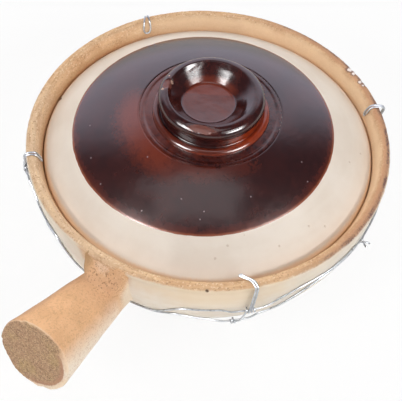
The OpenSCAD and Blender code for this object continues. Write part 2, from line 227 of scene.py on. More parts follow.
def lathe(profile, steps):
    # spins a profile of (radius, height) in millimetres round the pot's axis
    bm = bmesh.new()
    verts = [bm.verts.new((r * mm, 0, z * mm)) for r, z in profile]
    edges = [bm.edges.new(pair) for pair in zip(verts, verts[1:])]
    bmesh.ops.spin(bm, geom=verts + edges, cent=(0, 0, 0), axis=(0, 0, 1), angle=tau, steps=steps,
                   use_merge=True)
    closeUp(bm)
    return bm


def roundPot(at, r, side, z):
    # the point at an angle round the pot, a distance from its axis, a step sideways and a height
    a = radians(at) + side / r
    return Vector((r * cos(a), r * sin(a), z))


def toMesh(bm, name):
    mesh = bpy.data.meshes.new(name)
    bm.to_mesh(mesh)
    bm.free()
    return mesh


def addObject(name, data):
    made = bpy.data.objects.new(name, data)
    bpy.context.scene.collection.objects.link(made)
    return made


def place(bm, name, finish, body, slot, *nodes):
    for face in bm.faces:
        face.smooth = True
    mesh = toMesh(bm, name)
    piece = addObject(name, mesh)
    mesh.materials.append(finish.material)
    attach(piece, body)
    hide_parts(*nodes)
    print(name, len(mesh.polygons), "faces")


def lumps(co, size, seed):
    # smooth noise, about -1 to 1
    return noise.noise(co / (size * mm) + Vector((seed, seed * 1.7, seed * 2.3)))


def apart(turn, at):
    # angle between two directions given in degrees, in radians
    return abs((turn - at + 180) % 360 - 180) * radians(1)


def hollowLine(coat):
    # the inside of the pot from its seat to the middle of its floor, under a coat
    bow = bellyBow - pot["wall"] - coat
    top = seatZ - pot["seatEdge"] - pot["seatSlope"]
    bottom = pot["floor"] + coat
    return arc(bellyC, bow, angleAt(bow, top), angleAt(bow, bottom), 20) + [(0, bottom)]


clayTints = {"rim": (216, 172, 130), "rimPale": (233, 194, 153), "rimLeft": (226, 198, 166),
             "streakPale": (241, 207, 160), "streakDark": (192, 142, 98), "sandPale": (250, 226, 190),
             "sandDark": (166, 116, 80), "innerRight": (240, 209, 172), "innerFace": (184, 134, 88),
             "fire": (194, 143, 107), "soot": (104, 76, 74), "worn": (178, 130, 94),
             "slip": (230, 218, 201), "slipPale": (238, 231, 221), "underRim": (228, 211, 186),
             "front": (232, 206, 170), "foot": (212, 186, 156), "speck": (192, 166, 136),
             "chipEdge": (96, 70, 70), "chip": (250, 238, 232), "pit": (96, 66, 42)}


def potClay():
    f = Finish("sandClay", clayTints)
    f.start()
    wander = f.grain(14, 3) - 0.5
    fine = f.grain(0.9, 3, 0.6)
    fuzz = fine - 0.5
    coarse = f.grain(8, 4, 0.6)
    sand = f.grit(0.7)

    # bare sandy clay on top of the rim, with streaks and pinker on the left; painted light makes the rim's
    # inner slope paler towards the back right, and painted shade darkens the inner face further down towards
    # the lid, less at the back right
    streak = f.grain(1.3, 4, 0.65, where=f.thrown(9))
    right = f.towards(165).rise(-0.05, 0.6)
    inner = (f.r + wander * 0.002).fall(0.0938, 0.0960)
    face = f.r.fall(0.0940, 0.0948) * f.z.fall(0.0660, 0.0735)
    rim = f.coats("rim", rimPale=coarse.rise(0.3, 0.7),
                  rimLeft=(f.towards(-33) + wander * 0.3).rise(0.55, 0.95) * 0.6,
                  streakPale=streak.rise(0.5, 0.66) * 0.55, streakDark=streak.fall(0.32, 0.46) * 0.5,
                  sandPale=sand.rise(0.8, 0.97) * 0.5,
                  sandDark=sand.fall(0.05, 0.2) * fine.rise(0.4, 0.6) * 0.6,
                  innerRight=inner * right * 0.8, innerFace=face * (0.85 - right * 0.55))
    # fire marks on the side away from the handle, darkest along the edge; the fire colour on the rim's outer
    # half is partly painted shade where the rim rounds down
    burnt = f.towards(130).rise(0.2, 0.75)
    edge = (f.r + wander * 0.001 + fuzz * 0.0016).rise(0.0970, 0.0986)
    soot = (0.25 + 0.75 * coarse.rise(0.35, 0.6)) * (0.5 + 0.5 * sand.rise(0.2, 0.7))
    rim = f.coats(rim, fire=burnt * (f.r + wander * 0.004).rise(0.0935, 0.0970) * 0.8,
                  soot=burnt * edge * soot, worn=(1 - burnt) * edge * coarse.rise(0.42, 0.7) * 0.45)

    # pale slip over the belly; painted shade, warmer and darker, under the rim and most of all under its
    # front
    rings = f.grain(9, 3, 0.5, where=f.stretched(2.6, 0.12))
    front = (f.towards(36) + wander * 0.1).rise(0.90, 0.99) * f.z.rise(0.046, 0.066)
    belly = f.coats("slip", slipPale=rings.rise(0.3, 0.7) * 0.35 + coarse.rise(0.35, 0.65) * 0.4,
                    underRim=(f.z + wander * 0.02).rise(0.056, 0.078) * 0.6, front=front * 0.6,
                    foot=(f.z + wander * 0.012).fall(0.003, 0.012) * 0.7,
                    speck=f.specks(9, 0.3, 0.05) * 0.65)

    # no slip on the rim, inside the pot and round the handle's root
    bare = (f.z + wander * 0.0012 + fuzz * 0.0010).rise(0.0746, 0.0757)
    low = (f.z - bellyC[1] * mm).least(0)
    shell = ((bellyBow * mm) ** 2 - low * low) ** 0.5 + bellyC[0] * mm
    bare = bare.most((shell - f.r).rise(0.0015, 0.0025))
    root = f.off((100, 0.5, 71)) + wander * 0.005 + fuzz * 0.004
    bare = bare.most(root.fall(0.0125, 0.0185))
    colour = f.blend(belly, rim, bare)
    for at, _, size, _ in pot["paleChips"]:
        near = f.off(roundPot(at, pot["paleR"], 0, pot["height"])) + fuzz * 0.0022
        colour = f.coats(colour, chipEdge=near.fall(size * 0.7 * mm, size * 1.15 * mm) * 0.6,
                         chip=near.fall(size * 0.42 * mm, size * 0.66 * mm) * 0.95)
    near = f.off(roundPot(pot["pit"][0], pot["pitR"], 0, 75)) + fuzz * 0.0006
    colour = f.blend(colour, "pit", near.fall(0.55 * mm, 1.2 * mm))
    normal = f.bump(sand * 0.5 + fine, 0.22, bare * 0.7 + 0.08)
    normal = f.bump(rings, 0.3, 0.25, normal)
    return f.shade(Base_Color=colour, Roughness=0.74 + 0.18 * coarse, Normal=normal, Specular_IOR_Level=0.25)


def makePot(finish):
    p = pot
    height, rimR, rnd = p["height"], p["rimR"], p["rimRound"]
    outer = arc((rimR - rnd, height - rnd), rnd, -20, 90, 12)
    inner = arc((rimR - p["rimW"] + rnd, height - rnd), rnd, 90, 170, 10)
    foot = arc(bellyC, bellyBow, angleAt(bellyBow, p["footEdge"]), 0, 44)
    bandFoot = (bellyR, height - p["band"])
    leanFoot = (seatR, height - p["leanDepth"])
    seatIn = seatR - p["seatW"]
    profile = [(0, 0), (20, 0), (40, 0), (foot[0][0] - p["footEdge"], 0)] + foot
    profile += [bandFoot] + line(bandFoot, outer[0], 5) + outer
    profile += line(outer[-1], inner[0], 3) + inner + line(inner[-1], leanFoot, 5) + [leanFoot]
    profile += [(seatR, seatZ), (seatIn, seatZ), (seatIn, seatZ - p["seatEdge"])] + hollowLine(0)
    bm = lathe(profile, p["steps"])
    for v in bm.verts:
        r = hypot(v.co.x, v.co.y) / mm
        z = v.co.z / mm
        if r < p["plainR"] or z < 0.5:
            continue
        out = Vector((v.co.x, v.co.y, 0)).normalized()
        v.co += out * p["wobble"] * mm * lumps(out, 700, 1)
        if r > p["sandyR"] and z > p["sandyZ"] - 2:  # rim: sandy top, worn edge and chips
            grit = max(0, min(1, (z - p["sandyZ"]) / 2))
            v.co += v.normal * p["sand"] * mm * grit * (lumps(v.co, 2.4, 2) + 0.6 * lumps(v.co, 1.1, 3))
            v.co.z += p["rimWave"] * mm * grit * lumps(out, 260, 4)
            for at, low, size, depth in p["paleChips"] + [p["chip"], p["pit"]]:
                near = (v.co / mm - roundPot(at, p["chipR"], 0, low)).length + 0.5 * lumps(v.co, 1.3, 5)
                if near < size:
                    v.co -= (out + Vector((0, 0, 1))) * depth * mm * 0.55 * (1 - near / size)
        elif z < 70:  # rings left by the wheel
            ringed = Vector((out.x * 9 * mm, out.y * 9 * mm, v.co.z))
            v.co += v.normal * p["thrown"] * mm * lumps(ringed, 3.4, 6)
    place(bm, "potBody", finish, "pot", "clay", "pot_body")


# the handle's measures in millimetres, and how uneven its skin, its body and its sawn end are
handle = {"side": 1, "tilt": 15.5, "drop": 28, "reach": 56, "rootR": 13.75, "endR": 19.5, "flare": 1,
          "flareLength": 7, "edge": 1.25, "webR": 12.5, "webShift": 1, "hollow": 9.5, "step": 0.5,
          "voxel": 0.62, "fillet": 5, "skin": 0.07, "lump": 0.30, "endSand": 0.30, "endWave": 0.55,
          # where the stem and the web are cut off inside the wall, and the wall's strip: angle and thickness
          "stemCut": (92.8, 0, 47), "stemCutFace": (0.965, 0, -0.264), "webCut": 95.6,
          "strip": 34, "stripW": 2.6,
          "pits": [(106, 7, 60), (103, 14, 60), (103, 14.4, 58), (127, 13, 62), (129.5, 14.2, 60.5),
                   (112, 15, 52)],
          # chips in the end: angle, size and depth
          "endChips": [(-97, 1.8, 0.4), (-118, 1.6, 0.3), (158, 2.6, 0.5), (-30, 2.0, 0.4)]}
handleTilt = radians(handle["tilt"])
handleZ = pot["height"] - handle["drop"]
handleTints = {"body": (227, 177, 131), "bodyPale": (237, 187, 140), "root": (206, 162, 128),
               "flank": (190, 145, 113), "flankDark": (140, 112, 104), "under": (247, 233, 214),
               "fine": (246, 214, 174), "sandDark": (190, 142, 104), "worked": (214, 170, 126),
               "workedPale": (230, 188, 142), "workedSand": (249, 224, 184), "workedDark": (160, 112, 74),
               "slip": (240, 226, 206), "crease": (158, 112, 76), "joint": (241, 214, 186),
               "left": (184, 147, 104), "pit": (110, 76, 54), "core": (190, 151, 117),
               "mustard": (192, 159, 112), "coreSand": (218, 186, 148), "coreDark": (142, 110, 84),
               "rosy": (196, 146, 118), "wornEdge": (240, 210, 176)}


def sandyHandle():
    f = Finish("handleClay", handleTints)
    f.start()
    wander = f.grain(16, 4, 0.6) - 0.5
    blotch = f.grain(9, 4, 0.6)
    fine = f.grain(0.8, 3, 0.6)
    fuzz = fine - 0.5
    sand = f.grit(0.65)
    # along the handle from the rim, up across it, and sideways
    out, high = f.x - pot["rimR"] * mm, f.z - handleZ * mm
    along = out * cos(handleTilt) + high * sin(handleTilt)
    up = high * cos(handleTilt) - out * sin(handleTilt)
    side = f.y - handle["side"] * mm

    # painted shade, browner down the left flank and darkest at its edge, and painted light, pale, along the
    # lower right side
    flank = fuzz * 0.2 - side / (along * 0.1 + 0.0137)
    pale = (side * 0.9 - up * 0.65 + wander * 0.008).rise(0.002, 0.017)
    colour = f.coats("body", bodyPale=blotch.rise(0.32, 0.66),
                     root=(along + wander * 0.02).fall(0.006, 0.030) * 0.55,
                     flank=(flank + wander * 0.4).rise(0.42, 0.86) * 0.75,
                     flankDark=flank.rise(0.68, 0.9) * 0.5, under=pale * 0.95,
                     fine=fine.rise(0.52, 0.72) * 0.3, sandDark=sand.fall(0.08, 0.35) * 0.35)
    # sandy like the rim where it was worked on by hand, with slip from the belly on the right
    worked = (along + wander * 0.014 + fuzz * 0.004).fall(0.000, 0.012)
    pressed = f.blend("worked", "workedPale", blotch.rise(0.35, 0.6))
    colour = f.blend(colour, pressed, worked * 0.85)
    gritty = sand.fall(0.04, 0.2) * fine.rise(0.4, 0.6)
    slip = (side + wander * 0.006).rise(0.005, 0.0125) * (along + wander * 0.008).fall(-0.001, 0.007)
    crease = (f.off((101.5, 5, 66)) + wander * 0.010).fall(0.005, 0.013)
    joint = (f.off((98.8, 0.8, 73)) + wander * 0.006 + fuzz * 0.006).fall(0.001, 0.006)
    # painted shade: a darker tan on the left of the handle's root, under the rim
    left = (fuzz * 0.003 + wander * 0.004 - side).rise(0.0040, 0.0085) * f.z.rise(0.058, 0.066)
    colour = f.coats(colour, workedSand=worked * sand.rise(0.72, 0.97) * 0.6,
                     workedDark=worked * gritty * 0.7, slip=slip * f.z.fall(0.066, 0.071) * 0.8,
                     crease=crease * sand.fall(0.08, 0.20) * 0.7, joint=joint * (0.4 + 0.5 * sand),
                     left=left * f.x.fall(0.104, 0.110) * 0.8)
    for pit in handle["pits"]:
        hole = (f.off(pit) + fuzz * 0.001).fall(0.0004, 0.0011)
        colour = f.blend(colour, "pit", hole * 0.85)

    # sawn end: sand in a darker body, mustard in places, pink towards its lower edge
    around = (side * side + up * up) ** 0.5
    end = (along + around.fall(0.0150, 0.0178) * 0.004 + fuzz * 0.0007).rise(0.0570, 0.0577)
    lower = (side * 0.9 - up * 0.45).rise(0.004, 0.013)
    rosy = (around + wander * 0.004).rise(0.0145, 0.0170) * lower
    core = f.coats("core", mustard=f.grain(10, 3, 0.6).rise(0.45, 0.68) * 0.8,
                   coreSand=sand.rise(0.6, 0.9) * 0.65, coreDark=sand.fall(0.1, 0.3) * 0.7)
    core = f.coats(core, coreDark=fine.fall(0.34, 0.48) * 0.4, rosy=rosy * 0.75)
    end = end * (1 - (around + wander * 0.003 + fuzz * 0.001).rise(0.0174, 0.0182) * lower)
    colour = f.blend(colour, core, end)
    worn = along.rise(0.0565, 0.0570) * (1 - end)
    colour = f.blend(colour, "wornEdge", worn * (0.25 + blotch.rise(0.35, 0.6) * 0.45))

    normal = f.bump(sand * 0.5 + fine, 0.24, 0.30 + worked * 0.4)
    normal = f.bump(sand + fine * 1.2, 0.36, end * 0.7, normal)
    return f.shade(Base_Color=colour, Roughness=0.76 + 0.18 * fine, Normal=normal, Specular_IOR_Level=0.25)


def closeCut(bm, point, direction):
    # cuts off what lies behind a plane and closes the cut
    geom = bm.verts[:] + bm.edges[:] + bm.faces[:]
    bmesh.ops.bisect_plane(bm, geom=geom, plane_co=point, plane_no=direction, clear_inner=True)
    bmesh.ops.holes_fill(bm, edges=[e for e in bm.edges if e.is_boundary])


def makeHandle(finish):
    h = handle
    length = h["reach"] / cos(handleTilt)
    rim = (h["endR"] + h["flare"] - h["edge"], length - h["edge"])
    profile = [(0, -30), (h["rootR"] - 0.5, -30), (h["rootR"] - 0.5, -10), (h["rootR"] - 0.2, 0)]
    profile += [(h["endR"], length - h["flareLength"])] + arc(rim, h["edge"], 0, 90, 5) + [(0, length)]
    stem = lathe(profile, 72)
    toAxis = Matrix.Translation((pot["rimR"] * mm, h["side"] * mm, handleZ * mm))
    toAxis = toAxis @ Matrix.Rotation(pi / 2 - handleTilt, 4, "Y")
    bmesh.ops.transform(stem, matrix=toAxis, verts=stem.verts)
    closeCut(stem, [c * mm for c in h["stemCut"]], h["stemCutFace"])

    # web of clay from the rim down to the handle's top
    front = pot["rimR"] + h["hollow"] - h["step"]
    web = lathe([(h["webR"] * i / 12, 0) for i in range(13)], 48)
    middle = ((front - h["webR"]) * mm, (h["side"] + h["webShift"]) * mm, 0)
    bmesh.ops.translate(web, verts=web.verts, vec=middle)
    for v in web.verts:
        back = max(0, min(h["hollow"], front - v.co.x / mm))
        v.co.z = (pot["height"] - sqrt(max(h["hollow"] ** 2 - back ** 2, 0))) * mm
        v.co.z = min(v.co.z, (pot["height"] - h["step"] + 0.3) * mm)
    base = bmesh.ops.extrude_face_region(web, geom=web.faces[:])["geom"]
    for v in base:
        if isinstance(v, bmesh.types.BMVert):
            v.co.z = handleZ * mm
    closeCut(web, (h["webCut"] * mm, 0, 0), (1, 0, 0))

    # strip of the belly's wall, just under its skin, to run the handle out on
    rimIn = pot["rimR"] - 1.2
    skin = arc(bellyC, bellyBow - 0.3, angleAt(bellyBow, 22), 0, 18)
    skin += [(bellyR - 0.3, pot["height"] - 4.5), (rimIn, pot["height"] - 3.5), (rimIn, pot["height"] - 0.9)]
    loop = skin + [(r - h["stripW"], z) for r, z in reversed(skin)]
    wall = bmesh.new()
    wall.faces.new([wall.verts.new((r * mm, 0, z * mm)) for r, z in loop])
    toSide = Matrix.Rotation(radians(-h["strip"] / 2), 3, "Z")
    bmesh.ops.rotate(wall, cent=(0, 0, 0), matrix=toSide, verts=wall.verts)
    bmesh.ops.spin(wall, geom=wall.verts[:] + wall.edges[:] + wall.faces[:], cent=(0, 0, 0), axis=(0, 0, 1),
                   angle=radians(h["strip"]), steps=h["strip"])

    whole = bmesh.new()
    for part in (stem, web, wall):
        bmesh.ops.recalc_face_normals(part, faces=part.faces)
        shape = toMesh(part, "handleShape")
        whole.from_mesh(shape)
        bpy.data.meshes.remove(shape)
    shape = toMesh(whole, "handleShape")
    rough = addObject("handleShape", shape)
    remesh = rough.modifiers.new("join", "REMESH")
    remesh.mode = "VOXEL"
    remesh.voxel_size = h["voxel"] * mm
    bm = bmesh.new()
    bm.from_object(rough, bpy.context.evaluated_depsgraph_get())
    bpy.data.objects.remove(rough)
    bpy.data.meshes.remove(shape)

    toLocal = toAxis.inverted()
    for i in range(h["fillet"]):
        keep = 11 if i > 2 else -5  # the last passes leave the end sharp
        soft = [v for v in bm.verts if (toLocal @ v.co).z < (length - keep) * mm]
        bmesh.ops.smooth_vert(bm, verts=soft, factor=0.5, use_axis_x=True, use_axis_y=True, use_axis_z=True)
    bmesh.ops.recalc_face_normals(bm, faces=bm.faces)
    axis = toAxis.to_3x3() @ Vector((0, 0, 1))
    for v in bm.verts:
        local = toLocal @ v.co
        s = local.z / mm
        r = hypot(local.x, local.y) / mm
        turn = degrees(atan2(local.y, -local.x))
        out = (v.co - toAxis @ Vector((0, 0, local.z))).normalized()
        if r > 4 and s > 6:
            v.co += out * h["lump"] * mm * lumps(v.co, 15, 11) * min(1, (s - 6) / 10)
        v.co += v.normal * h["skin"] * mm * (lumps(v.co, 1.6, 12) + lumps(v.co, 4, 13))
        if s > length - 3:
            end = min(1, (s - length + 3) / 2)
            v.co += axis * h["endSand"] * mm * end * (lumps(v.co, 1.4, 14) + 0.8 * lumps(v.co, 3, 15) - 0.7)
            v.co += axis * h["endWave"] * mm * end * lumps(v.co, 13, 16)
            if r > h["endR"] - 3:
                v.co -= out * mm * end * (0.25 + 0.38 * lumps(v.co, 6, 17) + 0.18 * lumps(v.co, 2.2, 18))
                for at, size, depth in h["endChips"]:
                    gap = apart(turn, at) * h["endR"] + 0.5 * lumps(v.co, 1.5, 19)
                    if gap < size:
                        v.co -= (out + axis) * depth * mm * 0.7 * (1 - gap / size) * end
    place(bm, "stubHandle", finish, "pot", "clay", "handle")


# the lid's measures in millimetres; it sits nearer to the rim on one side
lid = {"gap": 0.7, "seatGap": 0.3, "rise": 33, "wall": 6, "edgeH": 4.7, "round": 2, "crown": 6, "steps": 420,
       "wobble": 0.10, "skin": 0.03, "close": 0.5, "closeAt": 25, "underGlaze": 0.42,
       "notch": (20.4, -88.6, 67.2),
       "pits": [(57.9, 48.3), (41, 69), (15.2, 81.8), (22.2, 75.6), (-39.3, 74.2), (-27.1, 73.1), (66, 46)]}
knob = {"collarR": 38, "sink": 2.6, "gap": 0.1, "toe": 0.5, "ridge": 0.28, "ridgeW": 3.3, "shelfH": 2.9,
        "shelfOut": 2.6, "coveW": 0.8, "ringR": 31.4, "ringM": 2.5, "ringZ": 2.7, "ringFrom": 8,
        "ringTo": 139, "groove": 5, "lipR": 28.3, "lipM": 4.6, "lipZ": 12.5, "lipFrom": -60, "lipTo": 100,
        "lipEdge": 0.7, "edgeTo": 132, "dishR": 14.2, "dishZ": 9.2, "sag": 0.2, "hollow": 0.3,
        "dishShift": (0.8, -1.3), "steps": 300, "wobble": 0.14, "lipWave": 0.10, "skin": 0.035,
        # chips in the lip: angle, distance from the axis, length, width and depth; pale spots: a size last
        "chips": [(-70, 24.2, 4.2, 2.6, 0.5), (21, 25.4, 8.6, 2.3, 0.42)],
        "pale": [(-77, 22.6, 0.9), (-62, 26, 0.9), (-84, 25.4, 0.6)], "flawZ": 104.5}
# red beside the collar: angle, how far round it starts and is full, distances where it fades, amount
glaze = {"r": 71.4, "dx": 1.9, "dy": -2.9, "proud": 0.14, "sunk": 0.06, "steps": 420, "edgeWander": 0.1,
         "red": [(-33, 0.58, 0.94, 42, 56, 1.0), (16, 0.86, 0.97, 40.5, 48, 0.5),
                 (52, 0.93, 0.985, 41, 48, 0.35)],
         "dust": [(53.5, 17), (52.3, 30), (56.4, 30.3), (32.3, 45.3), (4.3, 63.4), (-2.4, 55.5), (67.6, 2.2),
                  (37.8, -52.7), (54.7, -39.5), (64.9, -25.7), (43.8, -10.7)], "dustR": 0.42, "dustZ": 60}
lidR = seatR - lid["gap"]
lidBottom = seatZ + lid["seatGap"]
lidTopR = lidR - lid["round"]
lidTopZ = lidBottom + lid["edgeH"]
lidBow = (lidTopR ** 2 + lid["rise"] ** 2) / (2 * lid["rise"])
domeZ = lidTopZ + lid["rise"] - lidBow


def dome(r):
    return domeZ + sqrt(lidBow ** 2 - r ** 2)


recessZ = dome(knob["collarR"]) - knob["sink"]
crownZ = recessZ - lid["crown"]


creamTints = {"body": (229, 216, 201), "bodyPale": (236, 225, 212), "rings": (239, 230, 217),
              "fine": (228, 208, 188), "rubbed": (236, 196, 152), "pit": (202, 180, 160),
              "notch": (112, 80, 52)}


def creamClay():
    f = Finish("creamClay", creamTints)
    f.start()
    cloud = f.grain(26, 4, 0.55)
    fine = f.grain(1.4, 3, 0.6)
    fuzz = fine - 0.5
    rings = f.grain(8, 3, 0.5, where=f.stretched(2.2, 0.25))
    # painted shade, tan, round the lid's edge next to the rim, wider towards the handle
    front = f.towards(lid["closeAt"]).rise(-0.2, 0.8)
    rim = (f.r + fuzz * 0.0012 + (cloud - 0.5) * 0.002 + front * 0.0010).rise(0.0890, 0.0912)
    pitted = f.specks(17, 0.3, 0.035)
    for at in lid["pits"]:
        pitted = pitted.most((f.oval(at, 0, 0.7, 0.7) + fuzz).fall(0.5, 1.0))
    # painted shade: a dark spot at the lid's edge where a notch would show the gap below
    notch = (f.off(lid["notch"]) + fuzz * 0.001).fall(0.0011, 0.0018)
    colour = f.coats("body", bodyPale=cloud.rise(0.32, 0.68), rings=rings.rise(0.45, 0.7) * 0.25,
                     fine=fine.rise(0.6, 0.8) * 0.25, rubbed=rim * 0.85, pit=pitted * 0.55,
                     notch=notch * 0.9)
    normal = f.bump(fine, 0.10, 0.35)
    normal = f.bump(rings, 0.3, 0.25, normal)
    normal = f.bump(1 - pitted, 0.25, 0.8, normal)
    return f.shade(Base_Color=colour, Roughness=0.58 + 0.25 * cloud, Normal=normal, Specular_IOR_Level=0.3)


def makeLid(finish):
    under = lidBow - lid["wall"]
    underR = sqrt(under ** 2 - (lidBottom - domeZ) ** 2)
    collarR = knob["collarR"]
    top = [collarR + (lidTopR - collarR) * i / 44 for i in range(45)]
    profile = [(0, recessZ), (collarR * 0.5, recessZ), (collarR, recessZ)] + [(r, dome(r)) for r in top]
    profile += arc((lidTopR, lidTopZ - lid["round"]), lid["round"], 55, 0, 7)
    profile += [(lidR, lidBottom + 0.6), (lidR - 0.6, lidBottom)]
    low, high = acos(underR / under), asin((crownZ - domeZ) / under)
    profile += arc((0, domeZ), under, degrees(low), degrees(high), 16) + [(0, crownZ)]
    bm = lathe(profile, lid["steps"])
    for v in bm.verts:
        r = hypot(v.co.x, v.co.y) / mm
        if r < collarR + 0.1:
            continue
        out = Vector((v.co.x, v.co.y, 0)).normalized()
        v.co += v.normal * lid["skin"] * mm * (lumps(v.co, 3, 21) + lumps(v.co, 8, 22))
        if r > lidTopR:
            # sits nearer to the rim on the handle's side
            near = max(0, cos(atan2(out.y, out.x) - radians(lid["closeAt"])))
            v.co += out * mm * (lid["close"] * near - lid["wobble"] * (0.5 + 0.5 * lumps(out, 120, 23)))
        elif abs(v.co.z / mm - dome(r)) < 1:
            # a little lower under the glaze
            edge = hypot(v.co.x / mm - glaze["dx"], v.co.y / mm - glaze["dy"]) - glaze["r"]
            v.co.z -= lid["underGlaze"] * mm * max(0, min(1, (-0.8 - edge) / 1.2))
    place(bm, "lidDome", finish, "lid", "cream_clay", "lid")


glazeTints = {"dark": (42, 15, 15), "brown": (54, 20, 19), "thin": (116, 47, 28), "black": (28, 12, 12),
              "matt": (150, 128, 124), "edge": (164, 92, 60), "orange": (156, 58, 24),
              "dust": (146, 128, 132), "chip": (112, 52, 36), "pale": (190, 154, 134)}


def oxblood(name, red, rough, bright, flaws=()):
    # dark glaze that breaks to red where it lies thin, and to a bright colour where thinnest
    f = Finish(name, glazeTints)
    f.start()
    cloud = f.grain(22, 4, 0.6, 0.6)
    mottle = f.grain(3.2, 4, 0.65)
    fine = f.grain(0.7, 2, 0.5)
    fuzz = fine - 0.5
    thin, edge = red(f, cloud - 0.5, mottle - 0.5)
    cloudy = mottle.rise(0.35, 0.7) * 0.6 + cloud.rise(0.35, 0.65) * 0.4
    colour = f.coats("dark", brown=cloudy, thin=thin * (0.9 + 0.5 * fuzz),
                     black=mottle.fall(0.28, 0.42) * 0.35)
    colour = f.blend(colour, bright, edge)
    matt = f.specks(7, 0.10, 0.035)
    colour = f.blend(colour, "matt", matt * 0.7)
    for centre, angle, length, width, low, shade in flaws:
        near = f.oval(centre, angle, length, width) + (mottle - 0.5) * 0.9 + fuzz * 0.5
        spot = near.fall(0.7, 1.0) * f.z.rise(low * mm, (low + 1) * mm)
        colour = f.blend(colour, shade, spot * 0.85)
        matt = matt.most(spot)
    normal = f.bump(f.grain(5, 2), 0.14, 0.5)
    normal = f.bump(fine, 0.03, 0.4, normal)
    return f.shade(Base_Color=colour, Roughness=rough + 0.06 * mottle + 0.25 * matt, Normal=normal, IOR=1.6)


def lidRed(f, cloud, mottle):
    # red on the handle's side and next to the collar, and a thin line round the edge
    across = f.oval((glaze["dx"], glaze["dy"]), 0, glaze["r"], glaze["r"])
    grains = f.grain(1.1, 3, 0.7) - 0.5
    edge = (across + mottle * 0.010).rise(0.978, 0.998) * 0.8
    thin = (across + cloud * 0.06 + mottle * 0.05 + grains * 0.04).rise(0.92, 1.0) * 0.5
    for angle, start, full, near, far, amount in glaze["red"]:
        beside = (f.towards(angle) + cloud * 0.16 + mottle * 0.20 + grains * 0.16).rise(start, full)
        reach = (f.r + cloud * 0.010 + mottle * 0.014 + grains * 0.010).fall(near * mm, far * mm)
        thin = thin.most(beside * reach * amount)
    return thin.most(0.03 + cloud * 0.4), edge


def knobRed(f, cloud, mottle):
    # red on the shelf's left, orange on the right of ring and neck, brown on the dish's floor and behind it
    shelf = (f.z + mottle * 0.001).fall(0.0962, 0.0968)
    ring = f.z.rise(0.0960, 0.0968) * f.z.fall(0.1025, 0.1050) * f.r.rise(0.0195, 0.0215)
    left = (f.towards(-62) + cloud * 0.3 + mottle * 0.3).rise(0.25, 0.9)
    right = (f.towards(92) + mottle * 0.3).rise(0.62, 0.95) * ring
    dish = f.oval(knob["dishShift"], 0, knob["dishR"], knob["dishR"])
    floor = (dish + mottle * 0.06).fall(0.96, 1.02)
    back = (f.x + f.y * tan(radians(30))) / (-knob["dishR"] * mm)
    rear = (back + mottle * 0.08).rise(0.42, 0.54)
    behind = dish.rise(0.98, 1.02) * (dish + mottle * 0.2).fall(1.12, 1.28)
    behind = behind * f.towards(205).rise(0.3, 0.85)
    thin = shelf * (0.16 + left * 0.5 + cloud * 0.5 + mottle * 0.9)
    thin = thin.most(ring * f.r.rise(0.0276, 0.0288) * (0.6 + cloud * 0.5 + mottle * 0.6))
    thin = thin.most(floor * (0.62 + rear * 0.4 + cloud)).most(behind * 0.9)
    # a lighter orange line along the ring's lower edge at the front, below the chip
    worn = f.r.rise(0.0303, 0.0308) * f.z.rise(0.0959, 0.0962) * f.z.fall(0.0967, 0.0972)
    worn = worn * f.towards(29).rise(0.72, 0.95)
    bright = (f.specks(9, 0.15, 0.03) * 0.5).most(right * (0.75 + mottle)).most(worn * (0.3 + mottle))
    return thin.most(0.04 + cloud * 0.5 + mottle * 0.4), bright


def insideRed(f, cloud, mottle):
    return (cloud + mottle * 0.4).rise(0.0, 0.2) * 0.6, f.specks(9, 0.15, 0.03) * 0.6


def edgeAt(turn):
    # distance from the pot's axis to the glaze's edge
    toward = glaze["dx"] * cos(turn) + glaze["dy"] * sin(turn)
    return toward + sqrt(toward ** 2 - glaze["dx"] ** 2 - glaze["dy"] ** 2 + glaze["r"] ** 2)


def makeGlaze(finish):
    # coat between the collar and its edge: a strip from 0 to 1 across, laid on the dome, with a rounded edge
    across = [1 - (1 - i / 40) ** 1.6 for i in range(41)]
    upperSide = [(1 + t, 1) for t in across]
    bm = lathe(upperSide + [(2, 0), (1.5, 0), (1, 0), (1, 1)], glaze["steps"])
    for v in bm.verts:
        flat = Vector((v.co.x, v.co.y, 0))
        t = flat.length / mm - 1
        turn = atan2(v.co.y, v.co.x)
        upper = v.co.z > 0.5 * mm
        out = flat.normalized()
        edge = edgeAt(turn) + glaze["edgeWander"] * (lumps(out, 60, 31) + 0.5 * lumps(out, 18, 32))
        inner = knob["collarR"] + 0.02
        r = inner + (edge - inner) * t
        meniscus = min(1, (edge - r) / 1.1)
        lift = glaze["proud"] * sqrt(max(0, 1 - (1 - meniscus) ** 2)) - glaze["sunk"]
        v.co = out * r * mm
        v.co.z = (dome(r) + (lift if upper else -0.3)) * mm
        if upper:
            v.co.z += 0.02 * mm * lumps(v.co, 6, 33)
    bmesh.ops.recalc_face_normals(bm, faces=bm.faces)
    place(bm, "lidGlaze", finish, "lid", "glaze", "lid_glaze")


def bend(a, b, c, shares):
    # points of a curve that leaves a towards b and comes to c
    return [tuple(p * (1 - t) ** 2 + 2 * q * t * (1 - t) + s * t * t for p, q, s in zip(a, b, c))
            for t in shares]


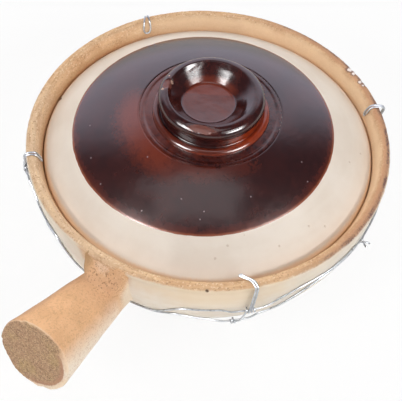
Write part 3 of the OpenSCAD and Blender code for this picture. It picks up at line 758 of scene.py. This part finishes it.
def makeKnob(finish):
    k = knob
    foot = k["collarR"] - k["gap"]
    ring = arc((k["ringR"] - k["ringM"], k["ringZ"]), k["ringM"], k["ringFrom"], k["ringTo"], 24)
    lipC = (k["lipR"] - k["lipM"], k["lipZ"])
    lip = arc(lipC, k["lipM"], k["lipFrom"], k["lipTo"], 40)
    # a tighter bend from the lip into the dish
    turn, inset = radians(k["lipTo"]), k["lipM"] - k["lipEdge"]
    edgeC = (lipC[0] + inset * cos(turn), lipC[1] + inset * sin(turn))
    lip += arc(edgeC, k["lipEdge"], k["lipTo"], k["edgeTo"], 7)[1:]
    wall = ((lip[-1][0] + k["dishR"]) / 2 - k["sag"] / 2, (lip[-1][1] + k["dishZ"]) / 2 - k["sag"])
    waist = (k["ringR"] - k["groove"], (k["ringZ"] + k["ringM"] + k["lipZ"] - k["lipM"]) / 2)
    # a soft ridge out of the dome, a shelf, and a cove up to the ring
    toe = (k["collarR"] + k["toe"], dome(k["collarR"] + k["toe"]) - recessZ - 0.03)
    edge = []
    for i in range(13):
        t = i / 12
        bulge = k["ridge"] * sin(pi * t)
        edge.append((toe[0] - k["ridgeW"] * t, toe[1] + (k["shelfOut"] - toe[1]) * t + bulge))
    cove = (k["ringR"] + k["coveW"], k["shelfH"])
    slope = line(edge[-1], cove, 6) + bend(cove, (ring[0][0], cove[1]), ring[0], [i / 6 for i in range(6)])
    dish = bend(lip[-1], wall, (k["dishR"], k["dishZ"]), [i / 12 for i in range(1, 13)])
    floor = [i / 10 for i in range(9, -1, -1)]
    profile = [(0, 0), (foot, 0)] + edge + slope + ring + line(ring[-1], waist, 3) + [waist]
    profile += line(waist, lip[0], 3) + lip + dish
    profile += [(k["dishR"] * t, k["dishZ"] - k["hollow"] * (1 - t * t)) for t in floor]
    bm = lathe([(r, z + recessZ) for r, z in profile], k["steps"])
    for v in bm.verts:
        r = hypot(v.co.x, v.co.y) / mm
        z = v.co.z / mm - recessZ
        if z < 0.3:
            continue
        out = Vector((v.co.x, v.co.y, 0)).normalized()
        high = min(1, z / k["lipZ"]) * min(1, r / k["dishR"])
        v.co += out * k["wobble"] * mm * high * lumps(out, 450, 41)
        if z > k["dishZ"] - 1:
            v.co += Vector((*k["dishShift"], 0)) * mm * max(0, min(1, (k["lipR"] - k["lipM"] - r) / 3))
        v.co.z += k["lipWave"] * mm * high * lumps(out, 600, 42)
        v.co += v.normal * k["skin"] * mm * lumps(v.co, 4.5, 43)
        for at, reach, length, width, depth in k["chips"]:
            beside = apart(degrees(atan2(v.co.y, v.co.x)), at) * reach
            near = hypot(beside / length, (r - reach) / width) + 0.3 * lumps(v.co, 1.8, 44)
            if near < 1 and z > k["lipZ"]:
                v.co.z -= depth * mm * min(1, 2.5 * (1 - near))
    place(bm, "lidKnob", finish, "lid", "glaze", "lid_knob")


inside = {"steps": 300, "sunk": 0.25, "under": 0.1, "skin": 0.05}


def makeInside(finish):
    skin = hollowLine(pot["glaze"])
    sunk = inside["sunk"]
    back = [(r + sunk if r > 1 else r, z - sunk) for r, z in hollowLine(inside["under"])]
    bm = lathe(skin + list(reversed(back)) + skin[:1], inside["steps"])
    for v in bm.verts:
        v.co += v.normal * inside["skin"] * mm * lumps(v.co, 7, 51)
    place(bm, "insideGlaze", finish, "pot", "glaze", "pot_glaze")


# wire round the belly and over the rim, in millimetres and degrees; lists have a value for each hook
wire = {"d": 1, "gap": 0.2, "wrapGap": 0.35, "turnGap": 0.55, "hooks": [45.4, 137, 235.5, 312.7],
        "turns": 1.5, "tail": -5, "eyeSide": [-4.3, 0.8, 1.5, 1.2], "bendSide": [1.8, 0.2, -0.9, 0.5],
        "knotSide": [0.3, 0.8, 0, 0.9], "eyeW": [1.5, 1.8, 4.4, 2], "eyeDepth": [-0.396, 6.03, 6.03, 5.49],
        "eyeOff": [1.9, 0, 0, 0], "eyeAngle": [110, 160, 160, 160], "bendOff": [0, 2.4, 0, 0.5],
        "legSide": 0.62, "bow": [1.5, 0, 0, 0], "depth": 16, "under": 2, "pull": 7, "draw": 7, "step": 3,
        "droop": 18, "upperTwist": 88, "lowerTwist": 186, "twistLength": 4.5, "twistTurns": 0.5,
        "twistTilt": 10, "twistSpread": 0.6, "dipFront": 22, "dipLeft": 14, "pullAngle": 18, "drawAngle": 12,
        "droopAngle": 30, "levelAngle": 4.5, "liftAngle": 9, "endShare": 0.75}
wireOff = wire["d"] / 2 + wire["gap"]
wrapR = wire["d"] + wire["wrapGap"]
turnStep = wire["d"] + wire["turnGap"]
rootR = handle["rootR"]
rootUnderR = bellyC[0] + sqrt(bellyBow ** 2 - (handleZ - rootR - bellyC[1]) ** 2)
underDrop = (handle["drop"] + (pot["rimR"] - rootUnderR) * tan(handleTilt) + rootR / cos(handleTilt)
             + wire["under"] + wire["d"] / 2)
underAngle = degrees(asin(rootR / bellyR))
knotAt = [at + degrees(side / bellyR) for at, side in zip(wire["hooks"], wire["knotSide"])]
tailAt = [at + degrees(wire["tail"] / bellyR) for at in knotAt]


def mesa(a, flat, half):
    # smooth rise to a flat top and back, over angles
    a = max(abs((a + 180) % 360 - 180) - flat, 0)
    return cos(pi / 2 * a / (half - flat)) ** 2 if a < half - flat else 0


def upperDepth(a):
    # below the handle, slack from there to the front hook, drawn up at the left hook
    beyond = wire["dipFront"] if (a + 180) % 360 > 180 else wire["dipLeft"]
    level = knotAt[0] if (a - knotAt[0] + 180) % 360 < 180 else wire["levelAngle"]
    dip = (underDrop - wire["depth"]) * mesa(a, underAngle, underAngle + beyond)
    pull = wire["pull"] * mesa(a - knotAt[0], level, level + wire["pullAngle"] - wire["levelAngle"])
    draw = wire["draw"] * mesa(a - knotAt[3], wire["levelAngle"], wire["drawAngle"])
    return wire["depth"] + hypot(dip, pull) - draw


def lowerDepth(a):
    droop = max(mesa(a - at, wire["levelAngle"], wire["droopAngle"]) for at in tailAt)
    return upperDepth(a) + wire["step"] + wire["droop"] * droop


def onBelly(depth, off):
    b = asin((depth - pot["bellyDrop"]) / bellyBow)
    return bellyC[0] + (bellyBow + off) * cos(b), bellyC[1] - (bellyBow + off) * sin(b)


def beltPoint(a, depthAt, places):
    # distance from the axis and height of a belt, lifted off the belly where hooks are wound on it
    lift = wrapR * max(mesa(a - at, wire["levelAngle"], wire["liftAngle"]) for at in places)
    return onBelly(depthAt(a), wireOff + lift)


def twist(at, depth, start):
    # one strand of the pigtail that closes a belt
    foot = onBelly(depth, 2 * wireOff)
    tilt = radians(wire["twistTilt"])
    points = []
    for i in range(25):
        t = i / 24
        turn = radians(start + 360 * wire["twistTurns"] * t)
        h = 0.55 * turnStep * (1 + wire["twistSpread"] * t * t)
        r = foot[0] + wire["twistLength"] * t * cos(tilt) + h * cos(turn) * sin(tilt)
        z = foot[1] - wire["twistLength"] * t * sin(tilt) + h * cos(turn) * cos(tilt)
        points.append(roundPot(at, r, h * sin(turn), z))
    return points


def beltPath(at, depthAt, places):
    loop = []
    for a in range(3, 360, 3):
        r, z = beltPoint(at + a, depthAt, places)
        loop.append(roundPot(at + a, r, 0, z))
    return twist(at, depthAt(at), 90)[::-2] + loop + twist(at, depthAt(at), -90)[::2]


def wound(at, mid, turns, side, way):
    # turns of a hook round a belt
    steps = ceil(8 * turns)
    points = []
    for i in range(steps + 1):
        done = turns * i / steps
        turn = radians(-30 + 360 * done)
        r, z = mid[0] + wrapR * cos(turn), mid[1] - wrapR * sin(turn)
        points.append(roundPot(at, r, side + way * turnStep * done, z))
    return points


def hookPath(k):
    w = wire
    at, eyeSide, bendSide, knotSide = w["hooks"][k], w["eyeSide"][k], w["bendSide"][k], w["knotSide"][k]
    upper = beltPoint(knotAt[k], upperDepth, knotAt)
    lower = beltPoint(tailAt[k], lowerDepth, tailAt)
    legSide = w["legSide"]
    lean = pot["rimLean"] / pot["leanDepth"]
    rnd = pot["rimRound"]
    inner = (pot["rimR"] - pot["rimW"] + rnd, pot["height"] - rnd)
    outer = (pot["rimR"] - rnd, pot["height"] - rnd)
    over = arc(inner, rnd + wireOff, w["eyeAngle"][k], 90, 2) + arc(outer, rnd + wireOff, 90, 0, 2)

    def eyePlace(share):
        drop = w["eyeDepth"][k] * share
        off = lean * drop + wireOff * sqrt(1 + lean ** 2) + w["eyeOff"][k] * share
        return pot["rimR"] - pot["rimW"] - off, pot["height"] - drop

    def leg(way):
        first, last = eyePlace(0.6)[0], pot["rimR"] + wireOff
        wide, near = way * w["eyeW"][k] / 2, way * legSide
        points = []
        for share, part in ((0.92, 0.65), (0.6, 1)):
            r, z = eyePlace(share)
            points.append(roundPot(at, r, eyeSide + wide * part, z))
        for i, (r, z) in enumerate(over):
            part = (r - first) / (last - first)
            bow = w["bow"][k] * sin(pi * part)
            side = eyeSide + wide + (bendSide + near - eyeSide - wide) * part + bow
            points.append(roundPot(at, r + w["bendOff"][k] * max(0, i - 3) / 2, side, z))
        low = (pot["height"] + upper[1]) / 2
        return points + [roundPot(at, last + w["bendOff"][k] / 2, (bendSide + knotSide) / 2 + near, low)]

    r, z = eyePlace(1)
    eye = leg(1)[::-1] + [roundPot(at, r, eyeSide, z)] + leg(-1)
    r, z = (upper[0] + lower[0]) / 2 + 2 * wrapR, (upper[1] + lower[1]) / 2
    between = roundPot(knotAt[k], r, w["tail"] / 2 - turnStep, z)
    knot = wound(knotAt[k], upper, w["turns"], legSide, 1)[::-1]
    tail = wound(knotAt[k], upper, 1, -legSide, -1) + [between] + wound(tailAt[k], lower, w["turns"], 0, -1)
    return knot + eye + tail


def smoothPath(points, parts):
    # Catmull-Rom curve through the points
    path = []
    for i in range(len(points) - 1):
        a, b, c, d = points[max(i - 1, 0)], points[i], points[i + 1], points[min(i + 2, len(points) - 1)]
        first, second, third = c - a, 2 * a - 5 * b + 4 * c - d, 3 * b - a - 3 * c + d
        for j in range(parts):
            t = j / parts
            path.append(0.5 * (2 * b + first * t + second * t ** 2 + third * t ** 3))
    return path + [points[-1]]


def drawWire(name, points, finish, node):
    # round wire along a path, a little thinner at its cut ends
    curve = bpy.data.curves.new(name, "CURVE")
    curve.dimensions = "3D"
    curve.bevel_depth = wire["d"] / 2 * mm
    curve.bevel_resolution = 4
    curve.use_fill_caps = True
    points = smoothPath(points, 4)
    spline = curve.splines.new("POLY")
    spline.points.add(len(points) - 1)
    for i, (knot, point) in enumerate(zip(spline.points, points)):
        knot.co = (*(point * mm), 1)
        knot.radius = 1 if 0 < i < len(points) - 1 else wire["endShare"]
    shaped = addObject(name + "Curve", curve)
    bm = bmesh.new()
    bm.from_mesh(shaped.to_mesh(depsgraph=bpy.context.evaluated_depsgraph_get()))
    bpy.data.objects.remove(shaped)
    bpy.data.curves.remove(curve)
    closeUp(bm)
    place(bm, name, finish, "pot", "wire", node)


wireTints = {"grey": (166, 169, 174), "pale": (212, 215, 219), "dull": (96, 94, 92)}


def galvanised():
    f = Finish("galvanisedWire", wireTints)
    f.start()
    spangle = f.grit(2.2)
    dull = f.grain(5, 4, 0.65)
    fine = f.grain(0.5, 2)
    colour = f.coats("grey", pale=spangle * 0.5 + dull.rise(0.35, 0.65) * 0.5,
                     dull=dull.rise(0.55, 0.72) * 0.7)
    metal = 0.92 - 0.2 * dull.rise(0.58, 0.75)
    rough = 0.18 + 0.2 * dull + 0.1 * fine
    return f.shade(Base_Color=colour, Metallic=metal, Roughness=rough, Normal=f.bump(fine, 0.03, 0.5))


makePot(potClay())
makeHandle(sandyHandle())
makeLid(creamClay())
dust = [(at, 0, glaze["dustR"], glaze["dustR"], glaze["dustZ"], "dust") for at in glaze["dust"]]
makeGlaze(oxblood("lidOxblood", lidRed, 0.18, "edge", dust))
flaws = [(roundPot(at, reach, 0, 0), at + 90, length, width, knob["flawZ"], "chip")
         for at, reach, length, width, _ in knob["chips"]]
flaws += [(roundPot(at, reach, 0, 0), at, size, size, knob["flawZ"], "pale")
          for at, reach, size in knob["pale"]]
makeKnob(oxblood("knobOxblood", knobRed, 0.11, "orange", flaws))
makeInside(oxblood("insideOxblood", insideRed, 0.10, "edge"))
steel = galvanised()
drawWire("upperBelt", beltPath(wire["upperTwist"], upperDepth, knotAt), steel, "upper_belt")
drawWire("lowerBelt", beltPath(wire["lowerTwist"], lowerDepth, tailAt), steel, "lower_belt")
for k, side in enumerate(("front", "right", "back", "left")):
    drawWire("rimHook" + side.capitalize(), hookPath(k), steel, "rim_hook_" + side)
print("pieces ready")

# floor and light; a box has a name, angle round, height, distance, shift and size across and up, and glow
studio = {"floor": 3.0, "paper": (0.95, 0.95, 0.95, 1), "white": 0.88, "wall": 1.36, "wallAt": 217,
          "dark": 0.1, "sky": 0.15, "horizon": 0.35, "cool": (0.97, 0.96, 1.15, 1), "warm": (1.0, 0.93, 0.95),
          "aim": (0, 0, 0.09), "shine": ("shineRight", "shineLeft", "shineDish"), "faint": 2,
          "boxes": [("boxRight", 77, 38, 1.2, (0, 0), (0.6, 0.2), 14),
                    ("boxRightEnd", 77, 38, 1.2, (0.49, 0), (0.38, 0.2), 3),
                    ("boxLeft", -13, 38, 1.2, (0, 0), (0.51, 0.2), 14),
                    ("boxLeftEnd", -13, 38, 1.2, (-0.77, 0), (1.03, 0.2), 4),
                    ("shineRight", 77, 38, 1.2, (0.08, -0.13), (0.95, 0.8), 27),
                    ("shineLeft", -13, 38, 1.2, (-0.08, -0.13), (0.85, 0.8), 27),
                    ("shineDish", 209, 46, 1.5, (0, 0), (1.0, 0.42), 0.3),
                    ("boxTop", 30, 70, 1.5, (-0.24, 0.4), (1.63, 0.16), 1.5),
                    ("boxTopBack", 30, 70, 1.5, (-0.08, 0.53), (0.75, 0.1), 1.5),
                    ("boxTopFront", 30, 70, 1.5, (-0.12, 0.12), (1.14, 0.4), 1.3)]}
black, white = (0, 0, 0, 1), (1, 1, 1, 1)
ground = bmesh.new()
bmesh.ops.create_grid(ground, x_segments=8, y_segments=8, size=studio["floor"])
mesh = toMesh(ground, "floor")
floor = addObject("floor", mesh)
paper = Finish("whitePaper")
toCamera, toMirror, toGlass = paper.rays()
seen = toCamera.most(toMirror).most(toGlass)
matt = paper.add("ShaderNodeBsdfDiffuse", {}, {"Color": studio["paper"]})
bright = paper.add("ShaderNodeEmission", {}, {"Color": white, "Strength": 1.0})
both = paper.add("ShaderNodeMixShader", {}, {0: seen * studio["white"], 1: matt, 2: bright})
paper.addOutput("ShaderNodeOutputMaterial", both)
mesh.materials.append(paper.material)

world = bpy.data.worlds.new("studio")
bpy.context.scene.world = world
world.use_nodes = True
sky = Finish("studio", tree=world.node_tree)
toCamera, toMirror, toGlass = sky.rays()
sky.start("Generated")
wall = sky.towards(studio["wallAt"]).rise(0.45, 0.8) * sky.z.fall(0.66, 0.87) * studio["wall"]
seen = toMirror.most(toGlass)
lit = studio["sky"] + studio["horizon"] * sky.z.fall(0.1, 0.5)
above = seen * studio["dark"] + (1 - seen) * lit
colour = sky.blend(white, studio["cool"], toMirror)
backdrop = sky.add("ShaderNodeBackground", {}, {"Color": colour, "Strength": toCamera.most(wall + above)})
sky.addOutput("ShaderNodeOutputWorld", backdrop)

for name, azimuth, height, distance, shift, size, glow in studio["boxes"]:
    lamp = bpy.data.lights.new(name, "AREA")
    lamp.shape = "RECTANGLE"
    lamp.size, lamp.size_y = size
    lamp.energy = glow * pi * size[0] * size[1]
    lamp.color = studio["warm"] if glow < studio["faint"] else (1, 1, 1)
    box = addObject(name, lamp)
    a, e = radians(azimuth), radians(height)
    way = Vector((cos(a) * cos(e), sin(a) * cos(e), sin(e)))
    turned = way.to_track_quat("Z", "Y")
    box.location = Vector(studio["aim"]) + turned @ Vector((*shift, distance))
    box.rotation_euler = turned.to_euler()
    shiny = name in studio["shine"]
    box.visible_camera = False
    box.visible_diffuse = not shiny
    box.visible_glossy = shiny or glow < studio["faint"]
    if shiny:
        # brightest in the middle, for highlights with soft edges
        lamp.use_nodes = True
        soft = Finish(name, tree=lamp.node_tree)
        wide, tall, _ = soft.parts(soft.add("ShaderNodeNewGeometry", out="Parametric"))
        fade = wide.rise(0, 0.4) * wide.fall(0.6, 1) * tall.rise(0, 0.3) * tall.fall(0.7, 1)
        shade = soft.add("ShaderNodeEmission", {}, {0: soft.blend(black, white, fade)})
        soft.addOutput("ShaderNodeOutputLight", shade)

# camera where the photograph was taken from
view = {"place": (0.31097, 0.17666, 0.49565), "lens": 89.55,
        "axes": ((-0.54493, -0.65978, 0.51743), (0.8375, -0.45815, 0.29782), (0.04057, 0.59564, 0.80223))}
lens = bpy.data.cameras.new("camera")
lens.sensor_width = 36
lens.sensor_fit = "HORIZONTAL"
lens.lens = view["lens"]
lens.clip_start = 0.01
camera = addObject("camera", lens)
camera.matrix_world = Matrix.Translation(view["place"]) @ Matrix(view["axes"]).to_4x4()
bpy.context.scene.camera = camera
bpy.context.scene.view_settings.view_transform = "Standard"
print("camera and light ready")
